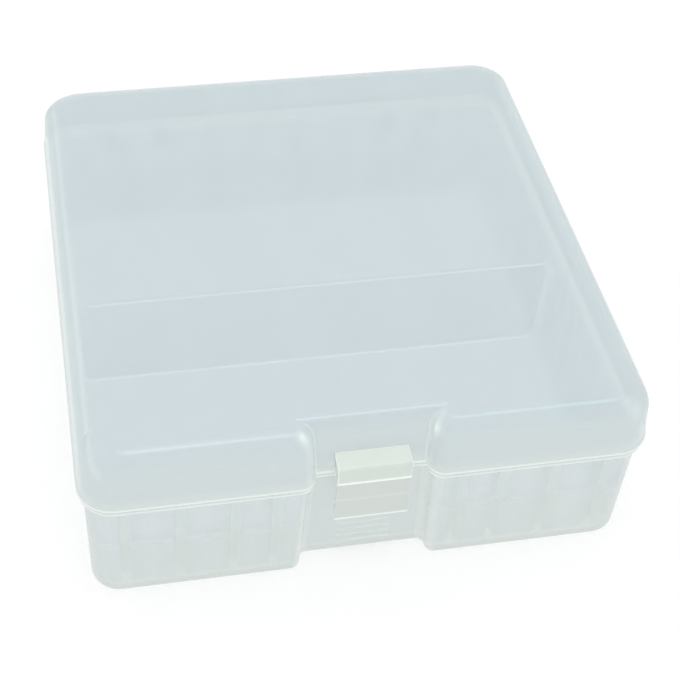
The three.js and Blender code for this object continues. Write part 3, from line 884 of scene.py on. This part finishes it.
def band_mask(place, middles, width):
    """1 on a rib, 0 beside it, and smooth over the ramp: smoothstep((w / 2 + ramp / 2 - distance) / ramp)."""
    distance = np.abs(place[..., None] - middles).min(-1)
    return smoothstep((width / 2 + ramp / 2 - distance) / ramp)


side_columns = np.concatenate((edge_places(side_ribs, rib_width), edge_places(guides, guide_width), [0]))
side_columns = np.sort(side_columns)
back_columns = np.sort(np.concatenate((edge_places(back_ribs, rib_width), [0])))[::-1]
front_columns = np.sort(edge_places(front_ribs, rib_width))
bay_columns = np.linspace(-13, 13, 9)
tray_columns = [
    front_columns, side_columns, back_columns, side_columns[::-1],
    -front_columns[::-1], [], bay_columns, [],
]
rib_count = 2 * len(front_ribs) + len(back_ribs) + 2 * len(side_ribs)
print("upright ribs:", rib_count, "columns on the straights:", sum(map(len, tray_columns)))

# %% [markdown]
# ## Section of the tray
# The tray's section starts under the floor and runs up the wall, over the lip that the lid stands on and the
# collar that centres it, and down the inside to the floor. Each of its points gives one row. It has a row
# wherever a rib ends, because a rib can only end where points lie.

# %% Tray section
foot_steps, lip_steps = 8, 3
lip_radii = [0.15, 0.15, 0.3, 0.2, 0.15, 0.1, 0.15, 0.01]  # mm, at the corners of the section

# from the foot up the outside, over the lip and the collar, and down to the floor, as (inset, height)
foot_angle = np.linspace(0, math.pi / 2, foot_steps + 1)
foot_z = tray_foot_radius * (1 - np.sin(foot_angle))[::-1]
foot_inset = round_run(tray_foot_radius - foot_z, tray_foot_radius)
upper_edge, lower_edge = belt_height + belt_thick / 2, belt_height - belt_thick / 2
level_edges = np.concatenate((upper_edge + ramp * ramp_shares, lower_edge + ramp * ramp_shares))
rib_end = rib_top + ramp * ramp_shares
guide_end = guide_top + ramp * ramp_shares
between_edges = [6, 12, 17, 28, 33]  # further rows, so that no face grows long
wall_levels = np.sort(np.concatenate((level_edges, rib_end, guide_end, between_edges)))
lip_bottom = tray_top - lip_thick
collar_top = tray_top + upstand_height
lip_section = rounded(
    [
        (0, lip_bottom - lip_chamfer), (-lip_proud, lip_bottom), (-lip_proud, tray_top),
        (upstand_inset, tray_top), (upstand_inset, collar_top - upstand_chamfer),
        (upstand_inset + upstand_chamfer, collar_top),
        (tray_wall, collar_top), (tray_wall, lip_bottom - lip_chamfer),
    ],
    lip_radii,
    steps=lip_steps,
)
lip_section = lip_section[:-(lip_steps + 3)]  # without the last corner, which only sets a direction
floor_z = tray_floor + tray_inner_radius * (1 - np.sin(foot_angle))
floor_inset = tray_wall + round_run(tray_floor + tray_inner_radius - floor_z, tray_inner_radius)

outer_z = np.concatenate((foot_z[:1], foot_z, [tray_foot_radius + support], wall_levels))
outer_inset = np.concatenate((foot_inset[:1] + 2 * support, foot_inset, np.zeros(1 + len(wall_levels))))
inner_levels = np.concatenate((wall_levels[::-1], [tray_floor + tray_inner_radius + support]))
tray_z = np.concatenate((outer_z, lip_section[:, 1], inner_levels, floor_z, floor_z[-1:]))
inner_inset = np.full(len(inner_levels), tray_wall)
inner_inset = np.concatenate((inner_inset, floor_inset, floor_inset[-1:] + 2 * support))
tray_inset = np.concatenate((outer_inset, lip_section[:, 0], inner_inset))
row_inside = np.arange(len(tray_z)) >= len(outer_z) + len(lip_section)
row_on_lip = (np.arange(len(tray_z)) >= len(outer_z)) & ~row_inside
print("rows of the tray:", len(tray_z), "of them on the lip and collar:", int(row_on_lip.sum()))

# %% [markdown]
# ## Walls of the tray
# The outline gives smooth walls, and the ribs are added as a distance inwards along each column's normal.
# A mask runs from 0 beside a rib to 1 on it, and masks across and up the wall are multiplied. Boolean boxes
# would do it too, but they leave long thin faces that shade badly.

# %% Tray shell
tray_shape = tray_plan(tray_z, tray_inset, tray_corner_tight * row_inside)
tray_outline, tray_normal = outline_rows(tray_shape, tray_columns)
stretch, corner_number, corner_share = column_kinds(tray_columns)
inside, on_lip, row_z = row_inside[:, None], row_on_lip[:, None], tray_z[:, None]

across, beside, behind = np.isin(stretch, FRONT), np.isin(stretch, (RIGHT, LEFT)), stretch == BACK
all_front = np.concatenate((-front_ribs, front_ribs))
along_x, along_y = tray_outline[..., 0], tray_outline[..., 1]
ribs = np.where(across, band_mask(along_x, all_front, rib_width), 0)
ribs = np.where(beside, band_mask(along_y, side_ribs, rib_width), ribs)
ribs = np.where(behind, band_mask(along_x, back_ribs, rib_width), ribs)
guide = np.where(beside, band_mask(along_y, guides, guide_width), 0)
belt = band_mask(tray_z, np.array([belt_height]), belt_thick)[:, None]
below_top = smoothstep((rib_top + ramp / 2 - row_z) / ramp)
below_guide = smoothstep((guide_top + ramp / 2 - row_z) / ramp)
proud = np.where(beside, rib_proud, row_rib_proud) * ribs
inward = np.maximum(proud, rib_proud * belt) * below_top
inward = np.maximum(inward, guide_proud * guide * below_guide) * inside
tray_points = with_height(tray_outline - tray_normal[None] * inward[..., None], tray_z)
tray_low, tray_high = tray_points.min((0, 1)), tray_points.max((0, 1))
print("tray:", tray_points.shape, "box, mm:", tray_low.round(2), tray_high.round(2))

# %% [markdown]
# ## Tones of the tray
# Behind milky plastic a rib shows as a darker band, and the lower half and the floor look warmer, because
# more plastic lies there behind the wall. Both could come from a real volume, at many times the render time;
# here they are values on the points of the walls.

# %% Tones of the tray
belt_share, front_rib_tone, other_rib_tone = 0.8, 0.7, 0.5
low_wall_tone, low_wall_edge, low_wall_run = 0.5, belt_height + 0.6, 1.2
floor_line_tone, floor_line_height, floor_line_spread = 0.3, 4.5, 0.5
floor_tone, floor_edge, floor_run = 0.5, 4, 1.2
bay_tone = 0.45
upper_rib_cool, upper_rib_run = 0.15, 6

case_corners = (corner_number >= FRONT_RIGHT) & (corner_number <= FRONT_LEFT)
main_walls = np.isin(stretch, (*FRONT, RIGHT, BACK, LEFT)) | case_corners
tray_depth = np.maximum(ribs, belt * belt_share * main_walls) * below_top
tray_depth *= np.where(beside | behind, other_rib_tone, front_rib_tone)
tray_depth[-2:] = 0  # the flat floor shows no ribs
below_belt = low_wall_tone * smoothstep((low_wall_edge - row_z) / low_wall_run) * (1 - on_lip)
floor_line = floor_line_tone * line_glow(row_z, floor_line_height, floor_line_spread)
floor_zone = floor_tone * smoothstep((floor_edge - row_z) / floor_run)
in_bay = np.isin(stretch, (*BAY_SIDES, BAY_FACE)) | np.isin(corner_number, NOOKS)
outer_tone = np.maximum(below_belt + floor_line + floor_zone, bay_tone * in_bay) * (1 - inside)
above_belt = smoothstep((row_z - belt_height) / upper_rib_run)
upper_ribs = upper_rib_cool * ribs * below_top * above_belt * (1 - inside)
print("deepest tone of a rib:", float(tray_depth.max()), "and of the outer wall:", float(outer_tone.max()))

# %% [markdown]
# ## Light edges of the tray
# The top of the collar and the lip's lower edge are thick, and they get painted highlights, as the lid's rim
# does. The collar's top shows through the lid at the sides and the back, and so do the guides that hold the
# divider. Through the lid a light colour alone would be lost, so these edges also get `lit`, a painted glow.
# The bay's lobes and nooks get a fainter painted highlight. The rest of the collar hardly shows and is made
# fainter.

# %% Tray with its light edges
collar_glow, collar_lit, collar_clear = 0.6, 0.25, 0.6
collar_depth, collar_run = 0.9, 0.5  # mm below the collar's top where its line starts, and its fade
collar_start = tray_top + 0.2
lip_glow, lip_line_height, lip_spread = 0.8, lip_bottom + 0.1, 0.35
lobe_corner_glow, lobe_corner_share, nook_glow = 0.25, 0.35, 0.15
guide_glow, guide_low, guide_run = 0.2, 5, 4

seen_above = np.where(beside | behind | np.isin(corner_number, (BACK_RIGHT, BACK_LEFT)), 1, 0)
seen_above = np.where(corner_number == FRONT_RIGHT, corner_share, seen_above)
seen_above = np.where(corner_number == FRONT_LEFT, 1 - corner_share, seen_above)
collar_line = on_lip * smoothstep((row_z - collar_top + collar_depth) / collar_run) * seen_above
collar_faint = collar_clear * on_lip * (row_z > collar_start)
lip_line = lip_glow * line_glow(row_z, lip_line_height, lip_spread) * (tray_inset[:, None] < 0)
on_lobes = np.isin(corner_number, (RIGHT_LOBE, LEFT_LOBE))
bay_edges = lobe_corner_glow * line_glow(corner_share, 0.5, lobe_corner_share) * on_lobes
bay_edges = np.maximum(bay_edges, nook_glow * np.isin(corner_number, NOOKS))
guide_light = guide_glow * guide * below_guide * inside * smoothstep((row_z - guide_low) / guide_run)
tray_glow = np.maximum(collar_glow * collar_line + lip_line + bay_edges * (1 - inside), guide_light)
tray_shell = grid_piece(
    "tray_shell", tray_points, "tray", glow=tray_glow, depth=np.maximum(tray_depth, outer_tone),
    cool=upper_ribs, faint=collar_faint, lit=collar_lit * collar_line + guide_light,
)
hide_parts("base_tray")
print("tray_shell:", len(tray_shell.data.polygons), "faces, lightest edge", float(tray_glow.max()))

# %% [markdown]
# ## Divider
# A thin plate slides between two guides at each side and parts the tray in two. Through the frosted roof only
# its edges show, as faint light lines. It is drawn flat, with its lower corners rounded, and given round
# edges, and rows of points close to the edge of its front face carry the light line: a painted highlight and
# a painted glow.

# %% Divider plate
divider_height, divider_corner_radius, divider_top_radius = 37.8, 3.5, 0.4
divider_edge = 0.3
edge_glow, top_lit, side_lit, plate_faint = 0.6, 0.4, 0.5, 0.55
divider_bottom = tray_floor + piece_gap
heights = np.array([divider_bottom, divider_height])
low_end, high_end = tray_plan(heights, tray_wall + rib_proud)["width"] - piece_gap
divider_outline = rounded(
    [
        (-low_end, divider_bottom), (low_end, divider_bottom),
        (high_end, divider_height), (-high_end, divider_height),
    ],
    [divider_corner_radius, divider_corner_radius, divider_top_radius, divider_top_radius],
    steps=8,
)
flat_points = bar_points(divider_outline, -divider_thick / 2, divider_thick / 2, divider_edge)

# rings on the front face, for the light line along its edge
ring_insets = np.array([0.5, 0.3, 0])
rings = np.repeat(flat_points[:1], len(ring_insets), axis=0)
rings[..., 1:] -= outline_normals(divider_outline) * ring_insets[:, None, None]
divider_points = np.concatenate((rings, flat_points[1:]))[..., [1, 0, 2]][::-1]
front_edge = np.zeros((len(divider_points), 1))
front_edge[-len(ring_insets) - bar_steps - 1:-1] = 1
at_top = divider_outline[:, 1] > divider_height - 1
divider = grid_piece(
    "divider_plate", divider_points, "tray", glow=edge_glow * front_edge,
    faint=plate_faint * (1 - front_edge), lit=front_edge * np.where(at_top, top_lit, side_lit),
)
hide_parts("divider_wall")
print("divider box, mm:", divider_points.min((0, 1)).round(2), divider_points.max((0, 1)).round(2))

# %% [markdown]
# ## Latch block
# The latch hangs in the bay, and its upper part is a block on the lid. The block is thick and a little whiter
# than the walls, and a painted highlight runs along its lower edge, over its top and round its ends. A cube
# with a bevel would come close, but its back follows the sloping bay wall, so it is a side profile carried
# along the width of the latch.

# %% Latch block
latch_width, latch_setback = 22, 0.4
latch_face = half_depth - latch_setback
block_height, block_fall, block_radius, block_edge = 7, 0.2, 1.1, 0.35
block_top = rim_height + block_height
seat = 0.05  # mm that an added piece sits in the wall, and the radius of its hidden corners
block_solid = -0.5  # a faint below 0 makes a piece more solid
edge_distances, edge_levels = (0.4, 1.0, 1.4), (1, 0.8, 0)  # mm from the lower edge, and the glow there
top_glow, end_glow = 0.3, 0.6


def lid_bay_y(z):
    """Where the lid's outer bay wall is at a height, on -y."""
    return -lid_plan(np.asarray(z, float), bead_proud * (z > rim_height + bead_height), 0)["bay_face"]


def tray_bay_y(z):
    """Where the tray's outer bay wall is at a height, on -y."""
    return -tray_plan(np.asarray(z, float), np.asarray(0.0))["bay_face"]


block_outline = rounded(
    [
        (lid_bay_y(rim_height) + seat, rim_height), (lid_bay_y(block_top) + seat, block_top),
        (-latch_face, block_top - block_fall), (-latch_face, rim_height),
    ],
    [seat, seat, block_radius, block_edge],
)
block_outline = filled(block_outline)
from_edge = np.linalg.norm(block_outline - (-latch_face, rim_height), axis=1)
block_glow = np.interp(from_edge, edge_distances, edge_levels)
block_glow = np.maximum(block_glow, top_glow * (block_outline[:, 1] > block_top - block_fall - 0.15))
bar_piece(
    "latch_block", block_outline, -latch_width / 2, latch_width / 2, block_edge, "lid", block_glow,
    end_share=end_glow, faint=block_solid, finish="latch_plastic",
)
print("latch block from", rim_height, "to", block_top, "mm, points round it:", len(block_outline))

# %% [markdown]
# ## Flap
# The flap hangs under the block from a thin root that bends, and its hook snaps under the tray's catch.
# Its front shows two light lines, one along the finger edge and a fainter one half way up. They could be
# modelled as steps, but the face looks smooth in the photo, so they are glow.

# %% Flap
flap_length, flap_thick, flap_edge, flap_tuck = 15.3, 1.6, 0.15, 0.05
flap_root_thick, flap_root_length = 0.7, 1.4
flap_lip_thick, flap_lip_height = 2.5, 1.1
hook_reach, hook_height, hook_drop = 1.5, 2.8, 10.4
flap_tone, flap_solid = 0.8, -0.35
# Both lines on the flap's front and the glow on its ends are painted highlights.
edge_line_rise, edge_line_spread = 0.3, 0.5  # mm above the flap's end, and half width
middle_line, middle_line_height, middle_line_spread = 0.2, 35.4, 0.4
flap_end_glow = 0.15
flap_radii = [0.25, 0.3, 0.3, 0.25, 0.25, 0.3, 0.25, 0.25, 0.3, 0.3, 0.25]  # mm, from the root's front

flap_top, flap_bottom = rim_height - piece_gap, rim_height - flap_length
hook_top = rim_height - hook_drop
flap_back = -latch_face + flap_thick
flap_nook = (flap_bottom + flap_lip_height + flap_lip_thick - flap_thick + hook_top - hook_height) / 2
flap_outline = rounded(
    [
        (-latch_face, flap_top), (-latch_face, flap_bottom), (-latch_face + flap_lip_thick, flap_bottom),
        (-latch_face + flap_lip_thick, flap_bottom + flap_lip_height),
        (flap_back, flap_nook), (flap_back + hook_reach, hook_top - hook_height + hook_reach),
        (flap_back + hook_reach, hook_top), (flap_back, hook_top),
        (flap_back, flap_top - flap_root_length),
        (-latch_face + flap_root_thick, flap_top - flap_root_length + flap_root_thick),
        (-latch_face + flap_root_thick, flap_top),
    ],
    flap_radii,
    steps=4,
)
flap_outline = filled(flap_outline)
flap_front = flap_outline[:, 0] < -latch_face + 0.3
flap_glow = line_glow(flap_outline[:, 1], flap_bottom + edge_line_rise, edge_line_spread) * flap_front
flap_middle = line_glow(flap_outline[:, 1], middle_line_height, middle_line_spread)
flap_glow += middle_line * flap_middle * flap_front
flap = bar_piece(
    "snap_flap", flap_outline, -latch_width / 2, latch_width / 2, flap_edge, "latch", flap_glow,
    end_share=flap_end_glow, tuck=flap_tuck, depth=flap_tone, faint=flap_solid, finish="latch_plastic",
)
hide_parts("latch_flap")
print("flap from", round(flap_bottom, 3), "to", flap_top, "mm, points round it:", len(flap_outline))

# %% [markdown]
# ## Catch and grip ribs
# Two things on the tray's bay wall belong to the latch: the wedge that the hook snaps under, and the low
# ribs below the flap that give the finger a grip. Both could be drawn into the tray's grid, as the inner
# ribs are, but they are so small that its rows would have to be much finer. The grip ribs are all alike,
# so a loop makes them.

# %% Catch and grip ribs
# catch_glow and grip_glow are painted highlights, and grip_lit a painted glow along the grip ribs.
catch_width, catch_rise, catch_lead, catch_glow, catch_solid = 15, 2.2, 1.8, 0.1, -0.5
grip_count, grip_width, grip_pitch, grip_thick, grip_proud, grip_height = 4, 16.5, 2.8, 0.8, 0.5, 5.7
grip_glow, grip_faint, grip_lit = 0.25, 0.9, 0.18
catch_radii, catch_edge = [seat, seat, 0.4, 0.25], 0.3
grip_radii, grip_edge = [0.25, 0.02, 0.02, 0.25], 0.2

catch_bottom = rim_height - hook_drop + piece_gap
catch_top = catch_bottom + catch_rise
catch_front = -latch_face + flap_thick + hook_reach + piece_gap
catch_outline = rounded(
    [
        (tray_bay_y(catch_bottom) + seat, catch_bottom),
        (tray_bay_y(catch_top + catch_lead) + seat, catch_top + catch_lead),
        (catch_front, catch_top), (catch_front, catch_bottom),
    ],
    catch_radii,
)
bar_piece(
    "catch_wedge", catch_outline, -catch_width / 2, catch_width / 2, catch_edge, "tray", catch_glow,
    end_share=catch_glow, faint=catch_solid,
)

for number in range(grip_count):
    low = grip_height + number * grip_pitch
    high = low + grip_thick
    grip_outline = rounded(
        [
            (tray_bay_y(low) - grip_proud, low), (tray_bay_y(low) + seat, low),
            (tray_bay_y(high) + seat, high), (tray_bay_y(high) - grip_proud, high),
        ],
        grip_radii,
    )
    bar_piece(
        f"grip_rib_{number + 1}", grip_outline, -grip_width / 2, grip_width / 2, grip_edge, "tray", grip_glow,
        end_share=grip_glow, faint=grip_faint, lit=grip_lit,
    )
print("catch from", round(catch_bottom, 3), "to", round(catch_top, 3), "mm, grip ribs:", grip_count)

# %% [markdown]
# ## Hinge eyes
# Each hinge at the back is a knuckle on the lid between two ears on the tray, with a pin through them.
# An eye could be a tube joined to a block. Here it is a ring of constant section whose outer side runs out
# to the wall, so its grid closes both ways and the hole stays open.

# %% Hinge eyes
hinge_spacing, hinge_setback = case_width * 0.612, 3.4
pin_radius, pin_chamfer, hinge_wall = 1.5, 0.4, 1.2
ear_width, knuckle_width, hinge_side_gap = 5, 12, 0.4
ear_drop, knuckle_rise = 10.5, 8
hinge_y, hinge_z = half_depth + hinge_setback, rim_height - piece_gap / 2
bore_radius = pin_radius + piece_gap
knuckle_radius = bore_radius + hinge_wall
eye_steps, web_steps, eye_edge, face_share = 40, 6, 0.3, 0.15
# eye_glow is a painted highlight that makes the hinge eyes lighter.
eye_glow, hinge_solid = 0.15, -0.6


def eye_outline(root_y, root_z, shoulder_z):
    """Outline in (y, z) of an eye whose web runs tangent from the round to the root on the wall.

    The line from the pin to the root and the radius to the tangent point enclose acos(radius / length)."""
    way = np.sign(root_z - hinge_z)
    to_root = np.array((root_y - hinge_y, abs(root_z - hinge_z)))
    length = np.linalg.norm(to_root)
    tangent = math.atan2(to_root[1], to_root[0]) - math.acos(knuckle_radius / length)
    shoulder = math.pi - math.asin(abs(shoulder_z - hinge_z) / knuckle_radius)
    angle = np.linspace(tangent, shoulder - 2 * math.pi, eye_steps + 1)
    edge = np.stack((np.cos(angle), way * np.sin(angle)), -1) * knuckle_radius + (hinge_y, hinge_z)
    share = np.linspace(0, 1, web_steps + 1)[:-1, None]
    root, end = np.array((root_y, root_z)), np.array((root_y, shoulder_z))
    web = root + (edge[0] - root) * share
    side = edge[-1] + (end - edge[-1]) * (1 - share[::-1])
    wall = end + (root - end) * share[1:]
    return np.concatenate((web, edge, side, wall))


def eye_piece(name, outline, start, end, body, finish):
    """A bar with a bore: for every outline point the bore has a point at the same angle about the pin."""
    away = outline - (hinge_y, hinge_z)
    unit = away / np.linalg.norm(away, axis=1, keepdims=True)
    bore = unit * bore_radius + (hinge_y, hinge_z)
    turning = (unit[:, 0] * np.roll(unit[:, 1], -1) - unit[:, 1] * np.roll(unit[:, 0], -1)).sum()
    if turning < 0:
        outline, bore = outline[::-1], bore[::-1]
    shell = bar_points(outline, start, end, eye_edge)
    # the end face's first row lies a little way from its edge to the bore
    shell[[0, -1], :, 1:] = shell[[1, -2], :, 1:] * (1 - face_share) + bore[None] * face_share
    bore_x = np.broadcast_to(np.array([end, start])[:, None, None], (2, len(bore), 1))
    inner = np.concatenate((bore_x, np.tile(bore, (2, 1, 1))), axis=-1)
    points = np.concatenate((shell, inner))
    return grid_piece(
        name, points, body, glow=eye_glow, faint=hinge_solid, finish=finish, caps=False, ring=True
    )


print("hinge axis at y", hinge_y, "and z", round(hinge_z, 3), "mm, bore radius", bore_radius)

# %% [markdown]
# ## Ears and knuckles
# The ears reach down to the tray's wall and the knuckle up to the lid's, each from just beside the gap
# between lid and tray. They could be drawn point by point, but the same formula gives both outlines.

# %% Ear and knuckle outlines
ear_root_z = hinge_z - ear_drop
ear_root_y = float(tray_plan(np.asarray(ear_root_z), np.asarray(0.0))["depth"]) - seat
ear_outline = eye_outline(ear_root_y, ear_root_z, tray_top - piece_gap)
knuckle_root_z = hinge_z + knuckle_rise
knuckle_root_y = float(lid_plan(np.asarray(knuckle_root_z), bead_proud, 0)["depth"]) - seat
knuckle_outline = eye_outline(knuckle_root_y, knuckle_root_z, rim_height + piece_gap)
print("points round an ear:", len(ear_outline), "and a knuckle:", len(knuckle_outline))

# %% [markdown]
# ## Hinge pins
# A pin is a plain rod with chamfered ends. Blender's cylinder with a bevel would give the same shape, but
# the grid gives it the same values on its points as every other piece.

# %% Rows of a pin
inner_x, outer_x = knuckle_width / 2 + hinge_side_gap, knuckle_width / 2 + hinge_side_gap + ear_width
pin_half, pin_steps = outer_x, 48
pin_x = np.array([-pin_half, -pin_half, -pin_half + pin_chamfer, -pin_half + 2 * pin_chamfer])
pin_x = np.concatenate((pin_x, -pin_x[::-1]))
pin_r = np.array([pin_radius - 2 * pin_chamfer, pin_radius - pin_chamfer, pin_radius, pin_radius])
pin_r = np.concatenate((pin_r, pin_r[::-1]))
pin_angle = np.linspace(0, 2 * math.pi, pin_steps, endpoint=False)
print("pin:", round(2 * pin_half, 3), "mm long,", len(pin_x), "rows of", pin_steps, "points")

# %% [markdown]
# ## Both hinges
# The two hinges are alike, so a loop sets two ears, a knuckle and a pin at each place. A mirror modifier
# would do that too, but then the left and the right pin couldn't stand for their own CAD nodes.

# %% Both hinges
hinge_middles = -hinge_spacing / 2, hinge_spacing / 2
for number, (side_name, middle) in enumerate(zip(("left", "right"), hinge_middles)):
    ear_left, ear_right = (middle - outer_x, middle - inner_x), (middle + inner_x, middle + outer_x)
    knuckle_ends = middle - knuckle_width / 2, middle + knuckle_width / 2
    eye_piece(f"hinge_ear_{2 * number + 1}", ear_outline, *ear_left, "tray", "tray_plastic")
    eye_piece(f"hinge_ear_{2 * number + 2}", ear_outline, *ear_right, "tray", "tray_plastic")
    eye_piece(f"hinge_knuckle_{number + 1}", knuckle_outline, *knuckle_ends, "lid", "lid_plastic")
    pin_points = np.stack((
        np.broadcast_to(middle + pin_x[:, None], (len(pin_x), len(pin_angle))),
        hinge_y + pin_r[:, None] * np.cos(pin_angle),
        hinge_z + pin_r[:, None] * np.sin(pin_angle),
    ), -1)
    pin = grid_piece(f"pin_{number + 1}", pin_points, "tray", faint=hinge_solid, finish="pin_plastic")
    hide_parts(f"hinge_pin_{side_name}")
print("hinges at x", [round(middle, 2) for middle in hinge_middles], "mm")
